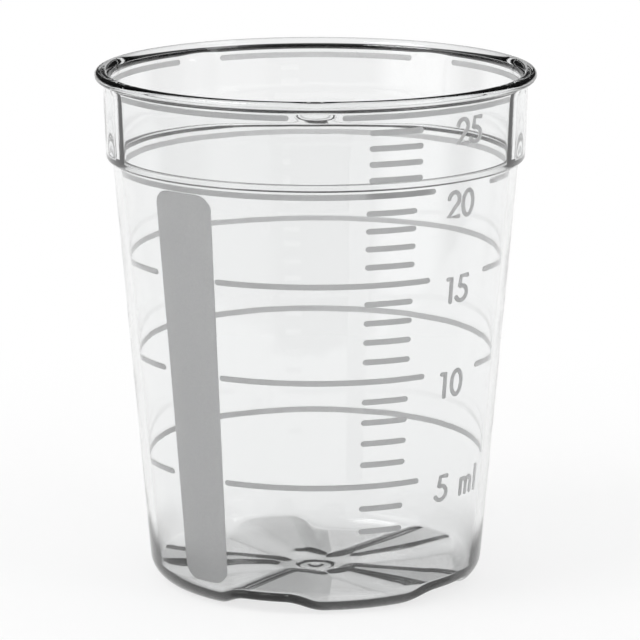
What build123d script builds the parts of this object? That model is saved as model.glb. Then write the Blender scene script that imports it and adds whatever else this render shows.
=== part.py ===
# A clear medicine cup, moulded in one piece: a tapered wall, a stepped collar with five inner ribs,
# a beaded rim and a thin floor that stands on five flat feet with a channel between each pair.
# The feet rest on z = 0, the axis is Z, and the side of the number scale faces -Y.
import os
from math import atan, cos, degrees, radians, tan

from build123d import *

# Driving dimensions, in millimetres and degrees
cup_height = 41.0  # feet to the top of the rim
foot_circle_radius = 13.13  # outer cone of the wall, carried down to the foot plane
body_draft = 4.9  # lean of the tapered wall
body_wall = 0.65
floor_thickness = 0.65
bottom_corner_radius = 2.0  # outside, between the floor and the wall
collar_depth = 7.0  # top of the rim down to the underside of the step
step_reach = 0.5  # how far the step stands out from the tapered wall
shelf_thickness = 0.5  # level web that joins the tapered wall and the collar
collar_wall = 0.5
collar_draft = 2.0
rim_reach = 0.66  # how far the bead stands out from the collar
rim_thickness = 0.75
rim_nose_radius = 0.3
mouth_radius = 0.45  # rounding of the rim's inner edge

rib_count = 5
rib_depth = 0.45  # towards the axis
rib_crest_width = 1.5
rib_foot_width = 2.5
rib_edge_radius = 0.2
rib_lead_in = 0.3  # bevel at the top end of a rib

channel_count = 5
channel_turn = 18.0  # angle from the front rib to the first channel
channel_height = 0.95  # at the foot circle
channel_crest_width = 5.0  # at the foot circle
channel_foot_width = 8.4  # at the foot circle
channel_crest_radius = 1.0
channel_foot_radius = 0.9
channel_start_radius = 2.4  # where the channels start
channel_start_clearance = 0.4  # at each side, to the line midway to the next channel
channel_start_height = 0.3

gate_radius = 1.45  # shallow round recess under the middle of the floor
gate_depth = 0.22
gate_nub_radius = 0.5
gate_nub_clearance = 0.06  # from the nub to the foot plane

# Flat bands that each rounded ring of the section is made of
bottom_band_count = 7
inner_band_count = 5
rim_band_count = 2

# Derived sizes
front_angle = -90.0
step_height = cup_height - collar_depth
body_lean = tan(radians(body_draft))
collar_lean = tan(radians(collar_draft))


def body_radius(height):
    # Outer radius of the tapered wall at a height
    return foot_circle_radius + body_lean * height


collar_foot_radius = body_radius(step_height) + step_reach


def collar_radius(height):
    # Outer radius of the collar at a height
    return collar_foot_radius + collar_lean * (height - step_height)


body_wall_across = body_wall / cos(radians(body_draft))
collar_wall_across = collar_wall / cos(radians(collar_draft))
shelf_height = step_height + shelf_thickness
rim_underside = cup_height - rim_thickness
rim_radius = collar_radius(rim_underside) + rim_reach
throat_radius = collar_radius(cup_height) - collar_wall_across
inner_corner_radius = bottom_corner_radius - (body_wall + floor_thickness) / 2
flank_slope = (channel_foot_width - channel_crest_width) / 2 / channel_height
flank_angle = degrees(atan(flank_slope))
half_pitch = radians(180 / channel_count)
ridge_growth = floor_thickness * tan(radians(90 - flank_angle) / 2)


def rounding(centre, radius, start_angle, turn, count):
    # Points of a rounded ring of a half section
    arc = CenterArc(centre, radius, start_angle, turn, mode=Mode.PRIVATE)
    return [arc @ (step / count) for step in range(count + 1)]


def corner_rounding(radius, floor, inset, count):
    # Points of the rounded corner between a floor and the tapered wall, or the wall's inner face
    centre_radius = body_radius(floor + radius) - inset - radius / cos(radians(body_draft))
    return rounding((centre_radius, floor + radius), radius, -90, 90 - body_draft, count)


def channel_tool(lift, growth):
    # A wedge along +X that widens and rises from the middle of the floor out through the wall,
    # with leaning sides and rounded crests
    start, end = channel_start_radius, foot_circle_radius + 2 * body_wall
    half_start = start * tan(half_pitch) - channel_start_clearance + growth
    half_foot = channel_foot_width / 2 + growth
    half_end = half_start + (half_foot - half_start) * (end - start) / (foot_circle_radius - start)
    ceiling = Plane(
        origin=(start, 0, lift + channel_start_height),
        z_dir=(channel_start_height - channel_height, 0, foot_circle_radius - start),
    )
    with BuildPart() as tool:
        with BuildSketch(Plane.XY.offset(lift)):
            with BuildLine():
                Polyline(
                    (start, -half_start), (end, -half_end), (end, half_end), (start, half_start), close=True
                )
            make_face()
        extrude(amount=2 * channel_height, taper=flank_angle)
        split(bisect_by=ceiling, keep=Keep.BOTTOM)
        crests = tool.faces().sort_by(Axis.Z)[-1].edges().group_by(SortBy.LENGTH)[-1]
        fillet(crests, channel_crest_radius)
    return tool.part


# The outside form, solid to the axis
with BuildPart() as outside:
    with BuildSketch(Plane.XZ):
        with BuildLine():
            Polyline(
                (0, 0),
                *corner_rounding(bottom_corner_radius, 0, 0, bottom_band_count),
                (body_radius(step_height), step_height),
                (collar_foot_radius, step_height),
                (collar_radius(rim_underside), rim_underside),
                *rounding(
                    (rim_radius - rim_nose_radius, rim_underside + rim_nose_radius),
                    rim_nose_radius, -90, 90, rim_band_count,
                ),
                *rounding(
                    (rim_radius - rim_nose_radius, cup_height - rim_nose_radius),
                    rim_nose_radius, 0, 90, rim_band_count,
                ),
                (0, cup_height),
                close=True,
            )
        make_face()
    revolve(axis=Axis.Z)
    with PolarLocations(0, channel_count, start_angle=front_angle - channel_turn):
        add(channel_tool(0, 0), mode=Mode.SUBTRACT)
    foot_face = outside.faces().sort_by(Axis.Z)[0]
    fillet(foot_face.edges().filter_by(GeomType.LINE), channel_foot_radius)
    Cylinder(gate_radius, 2 * gate_depth, mode=Mode.SUBTRACT)
    with Locations((0, 0, gate_nub_clearance)):
        Cylinder(gate_nub_radius, gate_depth, align=(Align.CENTER, Align.CENTER, Align.MIN))

# One inner rib of the collar, along +X, leaning with the collar wall
rib_root_radius = collar_radius(shelf_height) - collar_wall_across
rib_top = cup_height - mouth_radius
with BuildPart() as rib:
    with BuildSketch(Plane.XY.offset(shelf_height)):
        with BuildLine():
            Polyline(
                (rib_root_radius - rib_depth, -rib_crest_width / 2),
                (rib_root_radius, -rib_foot_width / 2),
                (rib_root_radius + collar_wall / 2, -rib_foot_width / 2),
                (rib_root_radius + collar_wall / 2, rib_foot_width / 2),
                (rib_root_radius, rib_foot_width / 2),
                (rib_root_radius - rib_depth, rib_crest_width / 2),
                close=True,
            )
        make_face()
    extrude(amount=(rib_top - shelf_height) / cos(radians(collar_draft)), dir=(collar_lean, 0, 1))
    chamfer(rib.edges().group_by(Axis.Z)[-1].sort_by(Axis.X)[0], rib_lead_in)
    crest = rib.faces().sort_by(Axis.X)[0]
    fillet(crest.edges().group_by(SortBy.LENGTH)[-1], rib_edge_radius)

# The hollow inside the cup, which leaves the ribs of the collar and a ridge over each channel
with BuildPart() as hollow:
    with BuildSketch(Plane.XZ):
        with BuildLine():
            Polyline(
                (0, floor_thickness),
                *corner_rounding(inner_corner_radius, floor_thickness, body_wall_across, inner_band_count),
                (body_radius(shelf_height) - body_wall_across, shelf_height),
                (rib_root_radius, shelf_height),
                *rounding(
                    (throat_radius + mouth_radius, cup_height - mouth_radius),
                    mouth_radius, 180, -90, rim_band_count,
                ),
                (rim_radius, cup_height),
                (rim_radius, cup_height + rim_thickness),
                (0, cup_height + rim_thickness),
                close=True,
            )
        make_face()
    revolve(axis=Axis.Z)
    with PolarLocations(0, channel_count, start_angle=front_angle - channel_turn):
        add(channel_tool(floor_thickness, ridge_growth), mode=Mode.SUBTRACT)
    with PolarLocations(0, rib_count, start_angle=front_angle):
        add(rib.part, mode=Mode.SUBTRACT)

with BuildPart() as cup:
    add(outside.part)
    add(hollow.part, mode=Mode.SUBTRACT)

cup.part.label = "cup"
os.makedirs("parts", exist_ok=True)
export_step(cup.part, "parts/cup.step")
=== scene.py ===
import logging
from collections.abc import Iterable, Sequence
from dataclasses import dataclass, field
from enum import Enum
from math import atan2, cos, pi, radians, sin, tan

import bmesh
import bpy
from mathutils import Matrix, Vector


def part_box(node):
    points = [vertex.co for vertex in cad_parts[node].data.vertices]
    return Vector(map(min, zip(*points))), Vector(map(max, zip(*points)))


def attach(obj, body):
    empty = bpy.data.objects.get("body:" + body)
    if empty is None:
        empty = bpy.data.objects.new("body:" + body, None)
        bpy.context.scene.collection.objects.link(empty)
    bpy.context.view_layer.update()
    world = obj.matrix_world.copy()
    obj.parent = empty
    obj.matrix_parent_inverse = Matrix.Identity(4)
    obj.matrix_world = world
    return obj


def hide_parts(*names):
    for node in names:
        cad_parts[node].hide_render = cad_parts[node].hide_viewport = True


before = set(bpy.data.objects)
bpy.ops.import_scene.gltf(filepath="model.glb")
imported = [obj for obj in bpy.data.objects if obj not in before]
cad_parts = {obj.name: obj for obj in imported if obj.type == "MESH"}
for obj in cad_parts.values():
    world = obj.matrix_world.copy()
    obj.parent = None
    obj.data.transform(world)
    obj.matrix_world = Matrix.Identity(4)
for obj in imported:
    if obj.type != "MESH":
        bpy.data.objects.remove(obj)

LOG = logging.getLogger("medicine_cup")
MM = 0.001
BODY = "root"
NODE = "cup"
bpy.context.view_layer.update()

Point = tuple[float, float]
Place = tuple[float, float, float]
Colour = tuple[float, float, float, float]


class Socket:
    """A node socket that is written as a number in an expression."""

    def __init__(self, tree: bpy.types.NodeTree, socket: bpy.types.NodeSocket) -> None:
        """Keeps a tree and one of its output sockets.

        Args:
            tree: The node tree that the socket belongs to.
            socket: The output socket.
        """
        self.tree = tree
        self.socket = socket

    def math(self, operation: str, *others: "Socket | float") -> "Socket":
        """Adds a Math node whose first input is this socket.

        Args:
            operation: The Math node's operation.
            others: The values or sockets of the node's further inputs.

        Returns:
            The node's output.
        """
        node = self.tree.nodes.new("ShaderNodeMath")
        node.operation = operation
        for slot, value in zip(node.inputs, (self, *others)):
            feed(self.tree, slot, value)
        return Socket(self.tree, node.outputs[0])

    def __add__(self, other: "Socket | float") -> "Socket":
        """Adds."""
        return self.math("ADD", other)

    def __radd__(self, other: float) -> "Socket":
        """Adds, with the number on the left."""
        return self.math("ADD", other)

    def __sub__(self, other: "Socket | float") -> "Socket":
        """Subtracts."""
        return self.math("SUBTRACT", other)

    def __rsub__(self, other: float) -> "Socket":
        """Subtracts this socket from a number."""
        return (self * -1.0) + other

    def __mul__(self, other: "Socket | float") -> "Socket":
        """Multiplies."""
        return self.math("MULTIPLY", other)

    def __rmul__(self, other: float) -> "Socket":
        """Multiplies, with the number on the left."""
        return self.math("MULTIPLY", other)

    def __truediv__(self, other: "Socket | float") -> "Socket":
        """Divides."""
        return self.math("DIVIDE", other)

    def __pow__(self, other: float) -> "Socket":
        """Raises to a power."""
        return self.math("POWER", other)

    def clamped(self) -> "Socket":
        """Holds the value between 0 and 1."""
        return self.math("MAXIMUM", 0.0).math("MINIMUM", 1.0)

    def above(self, limit: "Socket | float") -> "Socket":
        """Gives 1 where the value is over a limit, and 0 elsewhere."""
        return self.math("GREATER_THAN", limit)

    def ramp(self, low: float, high: float) -> "Socket":
        """Gives a smooth step from 0 at one value to 1 at another.

        Args:
            low: The value where the step starts.
            high: The value where it ends.

        Returns:
            The step as a socket.
        """
        share = ((self - low) / (high - low)).clamped()
        return share * share * (3.0 - 2.0 * share)


def feed(tree: bpy.types.NodeTree, slot: bpy.types.NodeSocket, value: object) -> None:
    """Links a socket to an input, or sets the input to a plain value.

    Args:
        tree: The node tree.
        slot: The input socket.
        value: A Socket, or a value that the input takes.
    """
    if isinstance(value, Socket):
        tree.links.new(value.socket, slot)
    else:
        slot.default_value = value


class Tree:
    """A node tree that is being written."""

    def __init__(self, tree: bpy.types.NodeTree) -> None:
        """Keeps the tree."""
        self.tree = tree

    def node(
        self, kind: str, settings: dict[str, object] | None = None, **values: object
    ) -> bpy.types.Node:
        """Adds a node.

        Args:
            kind: The node's type.
            settings: Properties of the node, set first.
            values: Values or Sockets of its inputs, by the input's name with _ for a space.

        Returns:
            The node.
        """
        node = self.tree.nodes.new(kind)
        for name, value in (settings or {}).items():
            setattr(node, name, value)
        for name, value in values.items():
            wanted = name.replace("_", " ")
            slots = [s for s in node.inputs if s.name == wanted and s.enabled]
            feed(self.tree, slots[0], value)
        return node

    def out(self, node: bpy.types.Node, name: str | int = 0) -> Socket:
        """Gives one output of a node as a Socket."""
        return Socket(self.tree, node.outputs[name])


class ShaderTree(Tree):
    """The node tree of a material or the world."""

    def noise(self, place: Socket, scale: float, detail: float = 2.0) -> Socket:
        """Adds a noise texture.

        Args:
            place: The coordinates that it reads.
            scale: Its scale, in cells for each metre.
            detail: Its number of octaves.

        Returns:
            The noise value.
        """
        return self.out(self.node("ShaderNodeTexNoise", Vector=place, Scale=scale, Detail=detail))

    def coordinates(self, kind: str) -> Socket:
        """Gives one output of a Texture Coordinate node."""
        return self.out(self.node("ShaderNodeTexCoord"), kind)


def new_material(name: str) -> tuple[bpy.types.Material, ShaderTree, bpy.types.Node]:
    """Makes a material with an empty tree.

    Args:
        name: The material's name.

    Returns:
        The material, its tree and its output node.
    """
    material = bpy.data.materials.new(name)
    material.use_nodes = True
    material.node_tree.nodes.clear()
    tree = ShaderTree(material.node_tree)
    return material, tree, tree.node("ShaderNodeOutputMaterial")


@dataclass(frozen=True)
class ClearPolypropylene:
    """Clear moulded polypropylene, glossy, with the faint waviness of a thin moulding."""

    tint: Colour = (0.935, 0.94, 0.94, 1.0)
    ior: float = 1.49
    gloss: float = 0.02
    haze: float = 0.03
    haze_scale: float = 1040.0
    haze_band: Point = (0.45, 0.8)
    flow_scale: float = 260.0
    flow_height: float = 0.000012

    def material(self) -> bpy.types.Material:
        """Builds the material.

        Returns:
            The material.
        """
        material, tree, output = new_material("clear_polypropylene")
        place = tree.coordinates("Object")
        flow = tree.noise(place, self.flow_scale, 1.0)
        haze = tree.noise(place, self.haze_scale)
        bump = tree.node(
            "ShaderNodeBump", None, Strength=1.0, Distance=self.flow_height, Height=flow
        )
        shader = tree.node(
            "ShaderNodeBsdfPrincipled",
            None,
            Base_Color=self.tint,
            Roughness=self.gloss + haze.ramp(*self.haze_band) * self.haze,
            IOR=self.ior,
            Transmission_Weight=1.0,
            Normal=tree.out(bump),
        )
        feed(tree.tree, output.inputs["Surface"], tree.out(shader))
        return material


@dataclass(frozen=True)
class FrostedMark:
    """The matt, finely grained skin of a raised mark, which lets a little light through."""

    name: str
    pale: Colour = (0.9, 0.9, 0.9, 1.0)
    deep: Colour = (0.8, 0.8, 0.805, 1.0)
    grain_scale: float = 9000.0
    grain_band: Point = (0.3, 0.7)
    grain_height: float = 0.00001
    grain_strength: float = 0.4
    roughness: float = 0.6
    roughness_range: float = 0.15
    see_through: float = 0.6

    def material(self) -> bpy.types.Material:
        """Builds the material.

        Returns:
            The material.
        """
        material, tree, output = new_material(self.name)
        grain = tree.noise(tree.coordinates("Object"), self.grain_scale, 3.0)
        colour = tree.node("ShaderNodeMix", {"data_type": "RGBA"})
        feed(tree.tree, colour.inputs[0], grain.ramp(*self.grain_band))
        feed(tree.tree, colour.inputs[6], self.deep)
        feed(tree.tree, colour.inputs[7], self.pale)
        bump = tree.node(
            "ShaderNodeBump", None, Strength=self.grain_strength, Distance=self.grain_height, Height=grain
        )
        shader = tree.node(
            "ShaderNodeBsdfPrincipled",
            None,
            Base_Color=tree.out(colour, 2),
            Roughness=self.roughness + self.roughness_range * grain,
            Transmission_Weight=self.see_through,
            Normal=tree.out(bump),
        )
        feed(tree.tree, output.inputs["Surface"], tree.out(shader))
        return material


@dataclass(frozen=True)
class PaleFloor:
    """A plain pale surface that a camera sees as white, apart from the lit shadow near the cup and a
    painted contact shadow round its foot that only rays bounced inside the glass see.
    """

    pale: Colour = (0.85, 0.85, 0.85, 1.0)
    grain_scale: float = 400.0
    roughness: float = 0.7
    roughness_range: float = 0.2
    shadow_share: float = 0.3
    shadow_start: float = 0.027
    shadow_end: float = 0.09
    # Painted contact shadow: how much darker the floor turns near the cup's foot, and the reach where it
    # fades out, for rays bounced inside the glass.
    painted_contact_shadow: float = 0.95
    painted_shadow_start: float = 0.016
    painted_shadow_end: float = 0.024

    def material(self) -> bpy.types.Material:
        """Builds the material.

        Returns:
            The material.
        """
        material, tree, output = new_material("pale_floor")
        path = tree.node("ShaderNodeLightPath")
        seen = (
            tree.out(path, "Is Camera Ray")
            + tree.out(path, "Is Transmission Ray")
            + tree.out(path, "Is Glossy Ray")
        ).clamped()
        place = tree.coordinates("Object")
        grain = tree.noise(place, self.grain_scale)
        reach = tree.out(tree.node("ShaderNodeVectorMath", {"operation": "LENGTH"}, Vector=place), "Value")
        roughness = self.roughness + self.roughness_range * grain
        matt = tree.node("ShaderNodeBsdfPrincipled", None, Base_Color=self.pale, Roughness=roughness)
        # Painted shadow: rays both reflected and refracted in the glass see the floor's white dimmed near
        # the axis, a dark disc standing in for contact shade.
        caught = tree.out(path, "Glossy Depth").above(0.5) * tree.out(path, "Transmission Depth").above(0.5)
        painted_shadow = caught * (1.0 - reach.ramp(self.painted_shadow_start, self.painted_shadow_end))
        white = tree.node("ShaderNodeEmission", None, Strength=1.0 - self.painted_contact_shadow * painted_shadow)
        share = self.shadow_share * (1.0 - reach.ramp(self.shadow_start, self.shadow_end))
        mix = tree.node("ShaderNodeMixShader")
        feed(tree.tree, mix.inputs[0], seen * (1.0 - share * (1.0 - painted_shadow)))
        feed(tree.tree, mix.inputs[1], tree.out(matt))
        feed(tree.tree, mix.inputs[2], tree.out(white))
        feed(tree.tree, output.inputs["Surface"], tree.out(mix))
        return material


class Skin(Enum):
    """What bends a ring of the cup's section away from a plain ring."""

    PLAIN = "plain"
    UNDERSIDE = "underside"
    INSIDE = "inside"
    RIBBED = "ribbed"
    SHELF = "shelf"


@dataclass(frozen=True)
class Ring:
    """One ring of the cup's section. Its share says how much of a rib's depth it takes."""

    radius: float
    height: float
    skin: Skin = Skin.PLAIN
    share: float = 1.0


def straight(start: Point, end: Point, steps: int, skin: Skin = Skin.PLAIN) -> list[Ring]:
    """Rings along a straight stretch of the section, without its last point.

    Args:
        start: Radius and height of the first point.
        end: Radius and height of the last point.
        steps: The number of rings.
        skin: What bends the rings.

    Returns:
        The rings.
    """
    rings = []
    for step in range(steps):
        share = step / steps
        radius = start[0] + share * (end[0] - start[0])
        rings.append(Ring(radius, start[1] + share * (end[1] - start[1]), skin))
    return rings


def rounded(
    centre: Point, radius: float, start: float, turn: float, steps: int, skin: Skin = Skin.PLAIN
) -> list[Ring]:
    """Rings along an arc of the section, both ends included.

    Args:
        centre: Radius and height of the arc's centre.
        radius: The arc's radius.
        start: The first angle, in degrees.
        turn: The angle that it turns by.
        steps: The number of steps.
        skin: What bends the rings.

    Returns:
        The rings.
    """
    angles = [radians(start + turn * step / steps) for step in range(steps + 1)]
    return [Ring(centre[0] + radius * cos(a), centre[1] + radius * sin(a), skin) for a in angles]


def soft_max(first: float, second: float, reach: float) -> float:
    """The greater of two heights, with their crossing rounded over a reach."""
    overlap = max(reach - abs(first - second), 0.0) / reach
    return max(first, second) + overlap * overlap * reach / 4


def soft_min(first: float, second: float, reach: float) -> float:
    """The smaller of two heights, with their crossing rounded over a reach."""
    return -soft_max(-first, -second, reach)


@dataclass
class Wall:
    """The cup's two cones: the tapered wall and the collar above its shelf. In millimetres."""

    foot_radius: float = 13.13
    body_draft: float = radians(4.9)
    body_thickness: float = 0.65
    step_height: float = 34.0
    step_reach: float = 0.5
    shelf_height: float = 34.5
    collar_draft: float = radians(2.0)
    collar_thickness: float = 0.5

    @property
    def body_lean(self) -> float:
        """How far the tapered wall leans out for each unit of height."""
        return tan(self.body_draft)

    @property
    def collar_lean(self) -> float:
        """How far the collar leans out for each unit of height."""
        return tan(self.collar_draft)

    def body(self, height: float) -> float:
        """Outer radius of the tapered wall."""
        return self.foot_radius + self.body_lean * height

    def collar(self, height: float) -> float:
        """Outer radius of the collar."""
        foot = self.body(self.step_height) + self.step_reach
        return foot + self.collar_lean * (height - self.step_height)

    def inner(self, height: float) -> float:
        """Inner radius, on the wall or the collar.

        Args:
            height: The height.

        Returns:
            The radius.
        """
        if height < self.shelf_height:
            return self.body(height) - self.body_thickness / cos(self.body_draft)
        return self.collar(height) - self.collar_thickness / cos(self.collar_draft)


@dataclass
class Channels:
    """The five channels under the floor, and the ridges over them. In millimetres."""

    count: int = 5
    turn: float = 18.0
    height: float = 0.95
    start_height: float = 0.3
    start_radius: float = 2.4
    half_start: float = 0.8
    half_crest: float = 2.5
    half_foot: float = 4.2
    rounding: float = 0.45
    ridge_growth: float = 0.17

    def rise(self, wall: Wall, radius: float, azimuth: float, growth: float) -> float:
        """Height of the channels' ceiling over the plane that they start from.

        Args:
            wall: The cup's wall.
            radius: The point's distance from the axis.
            azimuth: The point's angle from the front, in radians.
            growth: How much wider the channel is on each side.

        Returns:
            The height, negative beside a channel.
        """
        pitch = 2 * pi / self.count
        off = (azimuth + radians(self.turn) + pitch / 2) % pitch - pitch / 2
        along, across = radius * cos(off), abs(radius * sin(off))
        slope = (self.half_foot - self.half_crest) / self.height
        run = (along - self.start_radius) / (wall.foot_radius - self.start_radius)
        start = self.half_start + slope * self.start_height + growth
        half = start + run * (self.half_foot + growth - start)
        ceiling = self.start_height + run * (self.height - self.start_height)
        flank = (half - across) / slope
        head = (along - self.start_radius) / slope
        return soft_min(soft_min(ceiling, flank, self.rounding), head, self.rounding)


@dataclass
class Ribs:
    """The five upright ribs inside the collar, softly swept out of its wall. In millimetres."""

    count: int = 5
    depth: float = 0.2
    half_width: float = 2.3
    lead_in: float = 0.9

    def depth_at(self, ring: Ring, azimuth: float, top: float) -> float:
        """How far a rib stands in from the collar.

        Args:
            ring: The ring of the collar.
            azimuth: The point's angle from the front, in radians.
            top: The height where the ribs end.

        Returns:
            The depth, zero beside a rib.
        """
        pitch = 2 * pi / self.count
        off = (azimuth + pitch / 2) % pitch - pitch / 2
        across = min(abs(off) * ring.radius / self.half_width, 1.0)
        along = min(max((top - ring.height) / self.lead_in, 0.0), 1.0)
        return self.depth * cos(pi / 2 * across) ** 2 * along * along * (3 - 2 * along)


@dataclass
class Gate:
    """The shallow round recess under the middle of the floor, and its nub. In millimetres."""

    radius: float = 1.45
    depth: float = 0.22
    edge: float = 0.03
    lip: float = 0.05
    nub_radius: float = 0.5
    nub_height: float = 0.06
    nub_side: float = 0.1
    nub_edge: float = 0.06
    nub_draft: float = 0.02
    end_gap: float = 0.1

    def rings(self) -> list[Ring]:
        """The section from beside the axis out to the recess's mouth.

        Returns:
            The rings.
        """
        nub, radius, depth, edge = self.nub_radius, self.radius, self.depth, self.edge
        return [
            *straight((self.end_gap, self.nub_height), (nub - self.nub_edge, self.nub_height), steps=3),
            *straight((nub, self.nub_side), (nub + self.nub_draft, depth - edge), steps=3),
            *straight((nub + self.nub_edge, depth), (radius - self.end_gap, depth), steps=5),
            *straight((radius - edge, depth - edge), (radius, edge), steps=3),
        ]


@dataclass
class Cup:
    """The moulded cup, drawn finer than its solid: floor, wall, step, collar, ribs and rim.

    Its sizes are in millimetres.
    """

    height: float
    rim_radius: float
    wall: Wall = field(default_factory=Wall)
    channels: Channels = field(default_factory=Channels)
    ribs: Ribs = field(default_factory=Ribs)
    gate: Gate = field(default_factory=Gate)
    floor: float = 0.65
    corner: float = 2.0
    corner_top: float = 2.2
    rim_thickness: float = 0.75
    nose: float = 0.36
    rim_fillet: float = 0.25
    mouth: float = 0.5
    mouth_foot: float = 0.1
    edge: float = 0.28
    edge_top: float = 0.6
    fillet: float = 0.1
    shelf_edge: float = 0.02
    shelf_width: float = 0.5
    shelf_share: float = 0.2
    shelf_blend: float = 0.05
    inner_top: float = 0.3
    inner_foot: float = 1.6
    inner_pole: float = 0.2
    corner_gap: float = 0.1
    floor_steps: int = 44
    columns: int = 400

    def outer_rings(self) -> list[Ring]:
        """The section from the middle of the foot plane up to the top of the rim.

        Returns:
            The rings.
        """
        wall, gate, corner, nose = self.wall, self.gate, self.corner, self.nose
        centre = wall.body(corner) - corner / cos(wall.body_draft)
        step, low = wall.step_height, wall.step_height - self.fillet
        edge_top = step + self.edge_top
        edge_centre = (wall.collar(step) - self.edge, step + self.edge)
        rim_foot = self.height - self.rim_thickness
        rim_low = rim_foot - self.rim_fillet
        rim_centre = (wall.collar(rim_foot) + self.rim_fillet, rim_low)
        nose_radius = self.rim_radius - nose
        foot = Skin.UNDERSIDE
        return [
            *gate.rings(),
            *straight((gate.radius + gate.lip, 0.0), (centre, 0.0), self.floor_steps, foot),
            *rounded((centre, corner), corner, start=-90, turn=84, steps=20, skin=foot),
            *straight((wall.body(self.corner_top), self.corner_top), (wall.body(low), low), steps=9),
            *rounded((wall.body(step) + self.fillet, low), self.fillet, start=180, turn=-88, steps=6),
            *rounded(edge_centre, self.edge, start=-90, turn=90, steps=10),
            *straight((wall.collar(edge_top), edge_top), (wall.collar(rim_low), rim_low), steps=5),
            *rounded(rim_centre, self.rim_fillet, start=180, turn=-88, steps=6),
            *rounded((nose_radius, rim_foot + nose), nose, start=-88, turn=86, steps=9),
            *rounded((nose_radius, self.height - nose), nose, start=2, turn=86, steps=9),
        ]

    def inner_rings(self) -> list[Ring]:
        """The section from the top of the rim down to the middle of the floor.

        Returns:
            The rings.
        """
        wall, floor, mouth, edge = self.wall, self.floor, self.mouth, self.shelf_edge
        corner = self.corner - floor
        shelf = wall.shelf_height
        throat = wall.inner(self.height)
        centre = wall.inner(floor + corner) - corner / cos(wall.body_draft)
        top, low = self.height - mouth - self.mouth_foot, shelf + self.shelf_blend
        edge_centre = (wall.inner(shelf - self.shelf_edge / 2) + edge, shelf - edge)
        high, foot = shelf - self.inner_top, floor + self.inner_foot
        return [
            *rounded((throat + mouth, self.height - mouth), mouth, start=88, turn=90, steps=10),
            *straight((wall.inner(top), top), (wall.inner(low), low), 20, Skin.RIBBED),
            Ring(wall.inner(low), low, Skin.RIBBED),
            Ring(wall.inner(shelf), shelf, Skin.RIBBED),
            Ring(wall.inner(shelf) - self.shelf_width, shelf, Skin.SHELF, self.shelf_share),
            *rounded(edge_centre, edge, start=90, turn=86, steps=4),
            *straight((wall.inner(high), high), (wall.inner(foot), foot), steps=9),
            *rounded((centre, floor + corner), corner, start=-6, turn=-84, steps=16, skin=Skin.INSIDE),
            *straight(
                (centre - self.corner_gap, floor), (self.inner_pole, floor), self.floor_steps, Skin.INSIDE
            ),
        ]

    def place(self, ring: Ring, azimuth: float) -> Place:
        """Gives one point of a ring.

        Args:
            ring: The ring.
            azimuth: The angle from the front, in radians.

        Returns:
            The point, in metres.
        """
        radius, height = ring.radius, ring.height
        channels = self.channels
        if ring.skin is Skin.UNDERSIDE:
            height = soft_max(height, channels.rise(self.wall, radius, azimuth, 0.0), channels.rounding)
        elif ring.skin is Skin.INSIDE:
            ridge = self.floor + channels.rise(self.wall, radius, azimuth, channels.ridge_growth)
            height = soft_max(height, ridge, channels.rounding)
        elif ring.skin in (Skin.RIBBED, Skin.SHELF):
            top = self.height - self.mouth
            radius -= ring.share * self.ribs.depth_at(ring, azimuth, top)
        return radius * sin(azimuth) * MM, -radius * cos(azimuth) * MM, height * MM

    def build(self, material: bpy.types.Material) -> bpy.types.Object:
        """Builds the cup's closed skin.

        Args:
            material: Its finish.

        Returns:
            The object.
        """
        rings = self.outer_rings() + self.inner_rings()
        azimuths = [2 * pi * column / self.columns for column in range(self.columns)]
        points = [self.place(ring, azimuth) for ring in rings for azimuth in azimuths]
        foot = len(points)
        points += [(0.0, 0.0, self.gate.nub_height * MM), (0.0, 0.0, self.floor * MM)]
        faces: list[tuple[int, ...]] = []
        for column in range(self.columns):
            beside = (column + 1) % self.columns
            faces.append((foot, beside, column))
            for row in range(len(rings) - 1):
                low, high = row * self.columns, (row + 1) * self.columns
                faces.append((low + column, low + beside, high + beside, high + column))
            last = (len(rings) - 1) * self.columns
            faces.append((foot + 1, last + column, last + beside))
        mesh = bpy.data.meshes.new("clear_cup")
        mesh.from_pydata(points, [], faces)
        return finish_mesh(mesh, "clear_cup", material)


def finish_mesh(
    mesh: bpy.types.Mesh, name: str, material: bpy.types.Material, smooth: bool = True
) -> bpy.types.Object:
    """Turns a mesh's faces outwards and puts it in the scene.

    Args:
        mesh: The mesh, placed.
        name: The object's name.
        material: Its finish.
        smooth: Whether its faces are shaded smooth.

    Returns:
        The object, at the origin.
    """
    work = bmesh.new()
    work.from_mesh(mesh)
    bmesh.ops.recalc_face_normals(work, faces=work.faces[:])
    for face in work.faces:
        face.smooth = smooth
    work.to_mesh(mesh)
    work.free()
    mesh.materials.clear()
    mesh.materials.append(material)
    piece = bpy.data.objects.new(name, mesh)
    bpy.context.scene.collection.objects.link(piece)
    return piece


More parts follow.
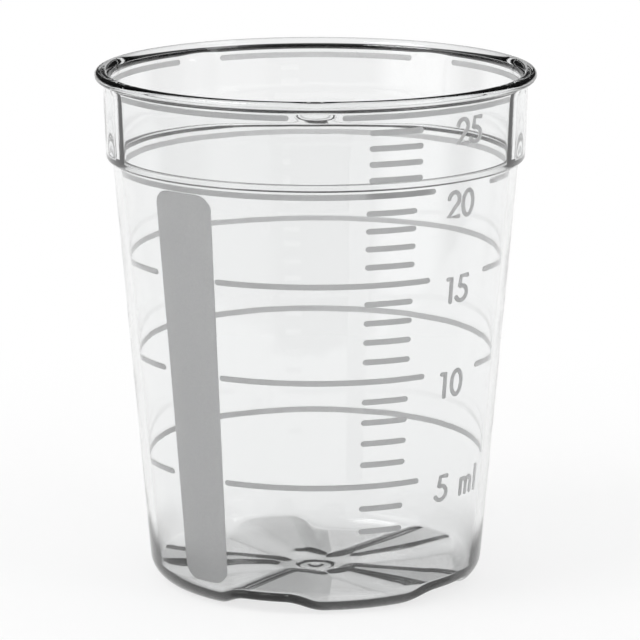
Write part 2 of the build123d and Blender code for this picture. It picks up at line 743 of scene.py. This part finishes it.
class GeometryTree(Tree):
    """A Geometry Nodes tree with named inputs, the last of which is its material."""

    def __init__(self, name: str, inputs: dict[str, str]) -> None:
        """Starts a tree.

        Args:
            name: The tree's name.
            inputs: The type of each further input's socket, by the input's name.
        """
        super().__init__(bpy.data.node_groups.new(name, "GeometryNodeTree"))
        interface = self.tree.interface
        interface.new_socket("Geometry", in_out="OUTPUT", socket_type="NodeSocketGeometry")
        interface.new_socket("Geometry", in_out="INPUT", socket_type="NodeSocketGeometry")
        self.names = {
            key: interface.new_socket(key, in_out="INPUT", socket_type=kind).identifier
            for key, kind in (inputs | {"Material": "NodeSocketMaterial"}).items()
        }
        self.source = self.tree.nodes.new("NodeGroupInput")

    def value(self, name: str) -> Socket:
        """Gives an input of the tree as a Socket."""
        return self.out(self.source, name)

    def end(self, geometry: Socket) -> None:
        """Ends the tree: instances made real, the material set, and the output linked.

        Args:
            geometry: The finished geometry.
        """
        real = self.out(self.node("GeometryNodeRealizeInstances", None, Geometry=geometry))
        dressed = self.node(
            "GeometryNodeSetMaterial", None, Geometry=real, Material=self.value("Material")
        )
        output = self.tree.nodes.new("NodeGroupOutput")
        feed(self.tree, output.inputs["Geometry"], self.out(dressed))

    def run(self, mesh: bpy.types.Mesh, values: dict[str, object]) -> bpy.types.Mesh:
        """Runs the tree on a mesh.

        Args:
            mesh: The mesh that goes in.
            values: A value for each named input.

        Returns:
            The plain mesh that comes out.
        """
        carrier = bpy.data.objects.new("carrier", mesh)
        bpy.context.scene.collection.objects.link(carrier)
        modifier = carrier.modifiers.new("tree", "NODES")
        modifier.node_group = self.tree
        for key, value in values.items():
            modifier[self.names[key]] = value
        evaluated = carrier.evaluated_get(bpy.context.evaluated_depsgraph_get())
        result = bpy.data.meshes.new_from_object(evaluated)
        carrier.modifiers.clear()
        bpy.data.objects.remove(carrier)
        return result


def level_marks_tree() -> GeometryTree:
    """Builds the tree that lays out equal volume steps as flat bars with round ends.

    The bars lie in a flat layout: X is the azimuth in radians and Z the height in metres. A bar is
    a grid of columns and rows, and each of its round ends takes the share cap of the columns.

    Returns:
        The tree.
    """
    numbers = (
        "First Volume", "Volume Step", "Known Volume", "Known Height", "Known Radius", "Lean",
        "Start", "End", "Line Width",
    )
    columns, rows, cap = 97, 3, 0.12
    inputs = {"Count": "NodeSocketInt"} | {name: "NodeSocketFloat" for name in numbers}
    tree = GeometryTree("level_marks", inputs)
    value = tree.value
    index = tree.out(tree.node("GeometryNodeInputIndex"))
    volume = value("First Volume") + index * value("Volume Step") - value("Known Volume")
    cube = value("Known Radius") ** 3.0 + 3.0 / pi * value("Lean") * volume
    height = value("Known Height") + (cube ** (1 / 3) - value("Known Radius")) / value("Lean")
    levels = tree.node("GeometryNodeMeshLine", {"mode": "OFFSET"}, Count=value("Count"))
    lifted = tree.node(
        "GeometryNodeSetPosition",
        None,
        Geometry=tree.out(levels),
        Position=tree.out(tree.node("ShaderNodeCombineXYZ", None, X=0.0, Y=0.0, Z=height)),
    )
    bar = tree.node(
        "GeometryNodeMeshGrid", None, Size_X=1.0, Size_Y=1.0, Vertices_X=columns, Vertices_Y=rows
    )
    spot = tree.node("ShaderNodeSeparateXYZ", None, Vector=tree.out(tree.node("GeometryNodeInputPosition")))
    along = tree.out(spot, "X") + 0.5
    half = value("Line Width") * 0.5
    length = (value("End") - value("Start")) * value("Known Radius")
    opening = (along / cap).clamped() * (pi / 2)
    closing = ((1.0 - along) / cap).clamped() * (pi / 2)
    middle = ((along - cap) / (1.0 - 2 * cap)).clamped()
    arc = (
        half * (1.0 - opening.math("COSINE"))
        + middle * (length - half * 2.0)
        + half * closing.math("COSINE")
    )
    width = half * 2.0 * opening.math("SINE") * closing.math("SINE")
    shaped = tree.node(
        "GeometryNodeSetPosition",
        None,
        Geometry=tree.out(bar),
        Position=tree.out(
            tree.node(
                "ShaderNodeCombineXYZ",
                None,
                X=value("Start") + arc / value("Known Radius"),
                Y=0.0,
                Z=tree.out(spot, "Y") * width,
            )
        ),
    )
    copies = tree.node(
        "GeometryNodeInstanceOnPoints", None, Points=tree.out(lifted), Instance=tree.out(shaped)
    )
    tree.end(tree.out(copies))
    return tree


def wall_wrap_tree() -> GeometryTree:
    """Builds the tree that raises flat marks and wraps them on the inner wall.

    Returns:
        The tree.
    """
    numbers = (
        "Foot Radius", "Body Lean", "Shelf Height", "Collar Radius", "Collar Lean", "Relief", "Gap",
    )
    weld_distance = 1e-7
    tree = GeometryTree("wall_wrap", {name: "NodeSocketFloat" for name in numbers})
    value = tree.value
    flat = tree.out(tree.source, "Geometry")
    inward = tree.out(tree.node("ShaderNodeCombineXYZ", None, X=0.0, Y=1.0, Z=0.0))
    raised = tree.node(
        "GeometryNodeExtrudeMesh",
        {"mode": "FACES"},
        Mesh=flat,
        Offset=inward,
        Offset_Scale=value("Relief"),
        Individual=False,
    )
    back = tree.node("GeometryNodeFlipFaces", None, Mesh=flat)
    both = tree.node("GeometryNodeJoinGeometry")
    for part in (tree.out(raised), tree.out(back)):
        tree.tree.links.new(part.socket, both.inputs[0])
    closed = tree.node(
        "GeometryNodeMergeByDistance", None, Geometry=tree.out(both), Distance=weld_distance
    )
    spot = tree.node("ShaderNodeSeparateXYZ", None, Vector=tree.out(tree.node("GeometryNodeInputPosition")))
    azimuth, depth, height = (tree.out(spot, axis) for axis in "XYZ")
    body = value("Foot Radius") + value("Body Lean") * height
    collar = value("Collar Radius") + value("Collar Lean") * (height - value("Shelf Height"))
    upper = height.above(value("Shelf Height"))
    radius = body * (1.0 - upper) + collar * upper - value("Gap") - depth
    wrapped = tree.node(
        "GeometryNodeSetPosition",
        None,
        Geometry=tree.out(closed),
        Position=tree.out(
            tree.node(
                "ShaderNodeCombineXYZ",
                None,
                X=radius * azimuth.math("SINE"),
                Y=radius * azimuth.math("COSINE") * -1.0,
                Z=height,
            )
        ),
    )
    tree.end(tree.out(wrapped))
    return tree


@dataclass(frozen=True)
class Stroke:
    """One stroke of a figure: an arc or a line, in shares of the figure's height."""

    points: tuple[Point, ...] = ()
    centre: Point = (0.0, 0.0)
    radii: Point = (0.0, 0.0)
    start: float = 0.0
    turn: float = 0.0

    def path(self) -> list[Point]:
        """Gives the stroke's centre line.

        Returns:
            Its points.
        """
        if self.points:
            return list(self.points)
        fewest, degrees_a_step = 6, 9
        steps = max(fewest, int(abs(self.turn) / degrees_a_step))
        angles = [radians(self.start + self.turn * step / steps) for step in range(steps + 1)]
        return [
            (self.centre[0] + self.radii[0] * cos(a), self.centre[1] + self.radii[1] * sin(a))
            for a in angles
        ]


FIGURES: dict[str, tuple[float, tuple[tuple[Stroke, ...], ...]]] = {
    "0": (0.66, ((Stroke(centre=(0.24, 0.5), radii=(0.24, 0.42), start=90, turn=360),),)),
    "1": (0.50, ((Stroke(points=((0.02, 0.88), (0.17, 0.92), (0.17, 0.08))),),)),
    "2": (
        0.64,
        (
            (
                Stroke(centre=(0.22, 0.68), radii=(0.23, 0.24), start=170, turn=-205),
                Stroke(points=((0.0, 0.08), (0.46, 0.08))),
            ),
        ),
    ),
    "5": (
        0.64,
        (
            (
                Stroke(points=((0.44, 0.92), (0.13, 0.92), (0.08, 0.55))),
                Stroke(centre=(0.18, 0.33), radii=(0.27, 0.25), start=112, turn=-262),
            ),
        ),
    ),
    "m": (
        0.98,
        (
            (Stroke(points=((0.04, 0.62), (0.04, 0.08))),),
            (
                Stroke(points=((0.04, 0.08), (0.04, 0.4))),
                Stroke(centre=(0.2, 0.44), radii=(0.16, 0.18), start=180, turn=-180),
                Stroke(points=((0.36, 0.4), (0.36, 0.08))),
            ),
            (
                Stroke(points=((0.36, 0.08), (0.36, 0.4))),
                Stroke(centre=(0.52, 0.44), radii=(0.16, 0.18), start=180, turn=-180),
                Stroke(points=((0.68, 0.4), (0.68, 0.08))),
            ),
        ),
    ),
    "l": (0.2, ((Stroke(points=((0.04, 0.92), (0.04, 0.08))),),)),
}


def ribbon(path: Sequence[Point], width: float) -> tuple[list[Point], list[tuple[int, ...]]]:
    """Gives a flat ribbon with round ends along a path.

    Args:
        path: The points of its centre line.
        width: Its width.

    Returns:
        Its points and faces.
    """
    half, caps = width / 2, 6
    lefts: list[Point] = []
    rights: list[Point] = []
    for index, (x, y) in enumerate(path):
        before, after = path[max(index - 1, 0)], path[min(index + 1, len(path) - 1)]
        angle = atan2(after[1] - before[1], after[0] - before[0])
        if index == 0:
            for step in range(1, caps):
                turn = angle + pi - pi / 2 * step / caps
                mirror = angle + pi + pi / 2 * step / caps
                lefts.append((x + half * cos(turn), y + half * sin(turn)))
                rights.append((x + half * cos(mirror), y + half * sin(mirror)))
        lefts.append((x - half * sin(angle), y + half * cos(angle)))
        rights.append((x + half * sin(angle), y - half * cos(angle)))
        if index == len(path) - 1:
            for step in range(caps - 1, 0, -1):
                turn = angle + pi / 2 * step / caps
                lefts.append((x + half * cos(turn), y + half * sin(turn)))
                mirror = angle - pi / 2 * step / caps
                rights.append((x + half * cos(mirror), y + half * sin(mirror)))
    count = len(lefts)
    faces = [(i, i + 1, count + i + 1, count + i) for i in range(count - 1)]
    return lefts + rights, faces


@dataclass(frozen=True)
class Label:
    """A number or unit on the wall: its text, left edge in degrees, and foot and height in millimetres."""

    text: str
    start: float
    foot: float
    height: float


@dataclass(frozen=True)
class Strip:
    """The upright strip with round corners. In millimetres, with its middle in degrees."""

    low: float = 1.9
    high: float = 33.2
    middle: float = -41.5
    half_width: float = 2.05
    widening: float = 0.12
    corner: float = 1.2
    columns: int = 9
    corner_steps: int = 10
    side_steps: int = 40

    def rows(self) -> list[Point]:
        """Gives the height and half width of each row, from the foot up.

        Returns:
            The rows.
        """
        low, high, corner = self.low, self.high, self.corner
        turns = [pi / 2 * step / self.corner_steps for step in range(self.corner_steps + 1)]
        ends = [(corner * (1 - cos(turn)), corner * (1 - sin(turn))) for turn in turns]
        side = (high - low - 2 * corner) / self.side_steps
        outline = [(low + up, inset) for up, inset in ends]
        outline += [(low + corner + side * step, 0.0) for step in range(1, self.side_steps)]
        outline += [(high - up, inset) for up, inset in reversed(ends)]
        spread = self.widening / (high - low)
        return [(z, self.half_width * (1 + spread * (z - low)) - inset) for z, inset in outline]


@dataclass
class Graduation:
    """The raised, frosted scale on the inner wall: rings, ticks, numbers and a strip to write on.

    Heights, widths and the relief are in millimetres, places round the wall in degrees from the
    front, and volumes in millilitres.
    """

    wall: Wall
    finish: bpy.types.Material
    line_width: float = 0.45
    relief: float = 0.06
    gap: float = 0.004
    tick_start: float = 14.5
    tick_end: float = 30.0
    tick_extra: float = 4.0
    tick_runs: tuple[tuple[float, int], ...] = ((3.0, 2), (6.0, 4), (11.0, 4), (16.0, 4), (21.0, 4))
    long_tick: float = 20.0
    known_volume: float = 5.0
    known_height: float = 10.35
    stroke_share: float = 0.155
    labels: tuple[Label, ...] = (
        Label("25", 41.6, 36.85, 2.25),
        Label("20", 41.3, 31.05, 2.3),
        Label("15", 42.8, 24.25, 2.3),
        Label("10", 42.9, 16.65, 2.3),
        Label("5", 44.4, 8.2, 2.25),
        Label("ml", 56.4, 8.2, 2.25),
    )
    ring_spans: tuple[tuple[float, tuple[Point, ...]], ...] = (
        (5.0, ((-31.0, 35.9), (85.3, 306.0))),
        (10.0, ((-31.0, 35.8), (59.3, 306.0))),
        (15.0, ((-31.0, 35.8), (59.3, 306.0))),
        (20.0, ((59.0, 396.0),)),
    )
    top_volume: float = 25.0
    top_parts: int = 5
    top_gap: float = 7.1
    strip_sizes: Strip = Strip()

    def __post_init__(self) -> None:
        """Builds the two trees."""
        self.levels = level_marks_tree()
        self.wrap = wall_wrap_tree()

    def cone(self, volume: float) -> dict[str, float]:
        """Known values of the cone that a volume's level lies on.

        Args:
            volume: The volume, in millilitres.

        Returns:
            The level tree's values, in metres and cubic metres.
        """
        wall = self.wall
        radius = wall.inner(self.known_height)
        at_shelf = radius + wall.body_lean * (wall.shelf_height - self.known_height)
        shelf_volume = self.known_volume + pi / 3000 * (at_shelf**3 - radius**3) / wall.body_lean
        if volume < shelf_volume:
            known = (self.known_volume, self.known_height, radius, wall.body_lean)
        else:
            known = (shelf_volume, wall.shelf_height, wall.inner(wall.shelf_height), wall.collar_lean)
        return {
            "Known Volume": known[0] * 1e-6,
            "Known Height": known[1] * MM,
            "Known Radius": known[2] * MM,
            "Lean": known[3],
        }

    def bars(self, first: float, count: int, start: float, end: float) -> bpy.types.Mesh:
        """Lays out bars one millilitre apart.

        Args:
            first: The first volume, in millilitres.
            count: The number of bars.
            start: Where they start, in degrees from the front.
            end: Where they end.

        Returns:
            The flat mesh.
        """
        values: dict[str, object] = {
            "Count": count,
            "First Volume": first * 1e-6,
            "Volume Step": 1e-6,
            "Start": radians(start),
            "End": radians(end),
            "Line Width": self.line_width * MM,
        }
        values |= self.cone(first) | {"Material": self.finish}
        return self.levels.run(bpy.data.meshes.new("bars"), values)

    def wrapped(self, flats: Iterable[bpy.types.Mesh], name: str) -> bpy.types.Object:
        """Raises flat marks and wraps them on the wall, as one piece.

        Args:
            flats: The flat meshes.
            name: The piece's name.

        Returns:
            The piece.
        """
        work = bmesh.new()
        for flat in flats:
            work.from_mesh(flat)
        joined = bpy.data.meshes.new(name)
        work.to_mesh(joined)
        work.free()
        wall = self.wall
        values = {
            "Foot Radius": wall.inner(0.0) * MM,
            "Body Lean": wall.body_lean,
            "Shelf Height": wall.shelf_height * MM,
            "Collar Radius": wall.inner(wall.shelf_height) * MM,
            "Collar Lean": wall.collar_lean,
            "Relief": self.relief * MM,
            "Gap": self.gap * MM,
            "Material": self.finish,
        }
        return finish_mesh(self.wrap.run(joined, values), name, self.finish, smooth=False)

    def rings(self) -> bpy.types.Object:
        """Builds the rings at every fifth millilitre.

        Returns:
            The piece.
        """
        flats = [self.bars(volume, 1, *span) for volume, spans in self.ring_spans for span in spans]
        pitch, rest = 360.0 / self.top_parts, self.top_gap
        flats += [
            self.bars(self.top_volume, 1, pitch * part + rest, pitch * (part + 1) - rest)
            for part in range(self.top_parts)
        ]
        return self.wrapped(flats, "scale_rings")

    def ticks(self) -> bpy.types.Object:
        """Builds the short ticks between the rings.

        Returns:
            The piece.
        """
        flats = [self.bars(first, count, self.tick_start, self.tick_end) for first, count in self.tick_runs]
        flats.append(self.bars(self.long_tick, 1, self.tick_start, self.tick_end + self.tick_extra))
        return self.wrapped(flats, "scale_ticks")

    def figure(self, label: Label) -> bpy.types.Mesh:
        """Lays out the strokes of a label.

        Args:
            label: The label.

        Returns:
            The flat mesh.
        """
        radius = self.wall.inner(label.foot + label.height / 2)
        mesh = bpy.data.meshes.new("figure")
        points: list[Place] = []
        faces: list[tuple[int, ...]] = []
        pen = 0.0
        for sign in label.text:
            advance, strokes = FIGURES[sign]
            for parts in strokes:
                path = [point for part in parts for point in part.path()]
                flat, quads = ribbon(path, self.stroke_share)
                base = len(points)
                faces += [tuple(base + i for i in quad) for quad in quads]
                points += [
                    (
                        radians(label.start) + (pen + x) * label.height / radius,
                        0.0,
                        (label.foot + y * label.height) * MM,
                    )
                    for x, y in flat
                ]
            pen += advance
        mesh.from_pydata(points, [], faces)
        return mesh

    def numbers(self) -> bpy.types.Object:
        """Builds the numbers and the unit."""
        return self.wrapped([self.figure(label) for label in self.labels], "scale_numbers")

    def strip(self) -> bpy.types.Object:
        """Builds the upright strip to write on, left of the scale.

        Returns:
            The piece.
        """
        sizes = self.strip_sizes
        rows, columns = sizes.rows(), sizes.columns
        radius = self.wall.inner(sizes.low)
        points = [
            (radians(sizes.middle) + (2 * c / (columns - 1) - 1) * width / radius, 0.0, height * MM)
            for height, width in rows
            for c in range(columns)
        ]
        faces = [
            (r * columns + c, r * columns + c + 1, (r + 1) * columns + c + 1, (r + 1) * columns + c)
            for r in range(len(rows) - 1)
            for c in range(columns - 1)
        ]
        mesh = bpy.data.meshes.new("strip")
        mesh.from_pydata(points, [], faces)
        return self.wrapped([mesh], "write_on_strip")


@dataclass(frozen=True)
class SoftBox:
    """A soft patch of light in the surroundings, which gloss shows as a streak.

    Its azimuth and spread are in degrees, and it is fully lit over the share core of its spread.
    """

    azimuth: float
    rise: float
    spread: float
    level: float
    core: float = 0.4


@dataclass(frozen=True)
class Lamp:
    """A soft rectangular lamp. In metres and watts."""

    name: str
    place: Place
    size: Point
    power: float


@dataclass
class Studio:
    """The floor, the lamps, the white surroundings and the camera. In metres and degrees."""

    camera_place: Place = (0.00034, -0.3296, 0.0912)
    camera_tilt: float = 77.93
    camera_lens: float = 237.8
    camera_sensor: float = 36.0
    camera_near: float = 0.01
    floor_radius: float = 0.3
    floor_corners: int = 96
    aim_height: float = 0.02
    backdrop: Point = (0.2, 0.5)
    horizon: Point = (0.0, 0.1)
    plain_level: float = 0.9
    dark_level: float = 0.04
    soft_boxes: tuple[SoftBox, ...] = (
        SoftBox(azimuth=-63.0, rise=-0.03, spread=32.0, level=1.6),
        SoftBox(azimuth=50.0, rise=-0.03, spread=28.0, level=0.5),
    )
    lamps: tuple[Lamp, ...] = (
        Lamp("key_lamp", place=(-0.25, -0.15, 0.35), size=(0.2, 0.2), power=0.6),
        Lamp("fill_lamp", place=(0.3, -0.2, 0.2), size=(0.15, 0.3), power=0.3),
    )

    def floor(self) -> None:
        """Builds the floor."""
        bpy.ops.mesh.primitive_circle_add(
            vertices=self.floor_corners, radius=self.floor_radius, fill_type="NGON", location=(0, 0, 0)
        )
        floor = bpy.context.object
        floor.name = "floor"
        floor.data.materials.append(PaleFloor().material())

    def light(self, lamp: Lamp) -> None:
        """Adds a lamp that faces the cup.

        Args:
            lamp: The lamp.
        """
        data = bpy.data.lights.new(lamp.name, "AREA")
        data.shape = "RECTANGLE"
        data.size, data.size_y = lamp.size
        data.energy = lamp.power
        body = bpy.data.objects.new(lamp.name, data)
        body.location = lamp.place
        aim = Vector((0, 0, self.aim_height)) - Vector(lamp.place)
        body.rotation_euler = aim.to_track_quat("-Z", "Y").to_euler()
        bpy.context.scene.collection.objects.link(body)

    def world(self) -> None:
        """Surrounds the cup with a white backdrop that glass shows as well."""
        world = bpy.data.worlds.new("studio")
        world.use_nodes = True
        world.node_tree.nodes.clear()
        tree = ShaderTree(world.node_tree)
        path = tree.node("ShaderNodeLightPath")
        ray = tree.node("ShaderNodeSeparateXYZ", None, Vector=tree.coordinates("Generated"))
        across, back, up = (tree.out(ray, axis) for axis in "XYZ")
        level = back.ramp(*self.backdrop) * (1.0 - up.ramp(*self.horizon))
        level = level.math("MAXIMUM", self.dark_level)
        for box in self.soft_boxes:
            aim = Vector((sin(radians(box.azimuth)), -cos(radians(box.azimuth)), box.rise)).normalized()
            facing = across * aim.x + back * aim.y + up * aim.z
            glow = facing.ramp(cos(radians(box.spread)), cos(radians(box.spread * box.core)))
            level = level.math("MAXIMUM", glow * box.level)
        spread = tree.out(path, "Diffuse Depth").above(0.5)
        level = level * (1.0 - spread) + spread * self.plain_level
        level = level.math("MAXIMUM", tree.out(path, "Is Camera Ray"))
        shine = tree.node("ShaderNodeBackground", None, Color=(1, 1, 1, 1), Strength=level)
        output = tree.node("ShaderNodeOutputWorld")
        feed(tree.tree, output.inputs["Surface"], tree.out(shine))
        bpy.context.scene.world = world

    def camera(self) -> None:
        """Sets the camera where the photograph was taken from."""
        data = bpy.data.cameras.new("camera")
        data.lens = self.camera_lens
        data.sensor_width = self.camera_sensor
        data.clip_start = self.camera_near
        camera = bpy.data.objects.new("camera", data)
        camera.location = self.camera_place
        camera.rotation_euler = (radians(self.camera_tilt), 0, 0)
        bpy.context.scene.collection.objects.link(camera)
        bpy.context.scene.camera = camera

    def set_up(self) -> None:
        """Builds the whole stage."""
        self.camera()
        self.floor()
        self.world()
        for lamp in self.lamps:
            self.light(lamp)
        bpy.context.scene.view_settings.view_transform = "Standard"


def mount(piece: bpy.types.Object) -> None:
    """Puts a piece on the cup's body.

    Args:
        piece: The finished piece.
    """
    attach(piece, BODY)
    LOG.info("%s: %d faces", piece.name, len(piece.data.polygons))


def main() -> None:
    """Builds the cup, its scale and the studio."""
    logging.basicConfig(level=logging.INFO, format="%(name)s %(message)s")
    low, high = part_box(NODE)
    Studio().set_up()
    cup = Cup(height=high.z / MM, rim_radius=(high.x - low.x) / 2 / MM)
    skin = cup.build(ClearPolypropylene().material())
    mount(skin)
    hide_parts(NODE)
    scale = Graduation(cup.wall, FrostedMark("frosted_marks").material())
    for piece in (scale.rings(), scale.ticks(), scale.numbers(), scale.strip()):
        mount(piece)


if __name__ == "__main__":
    main()
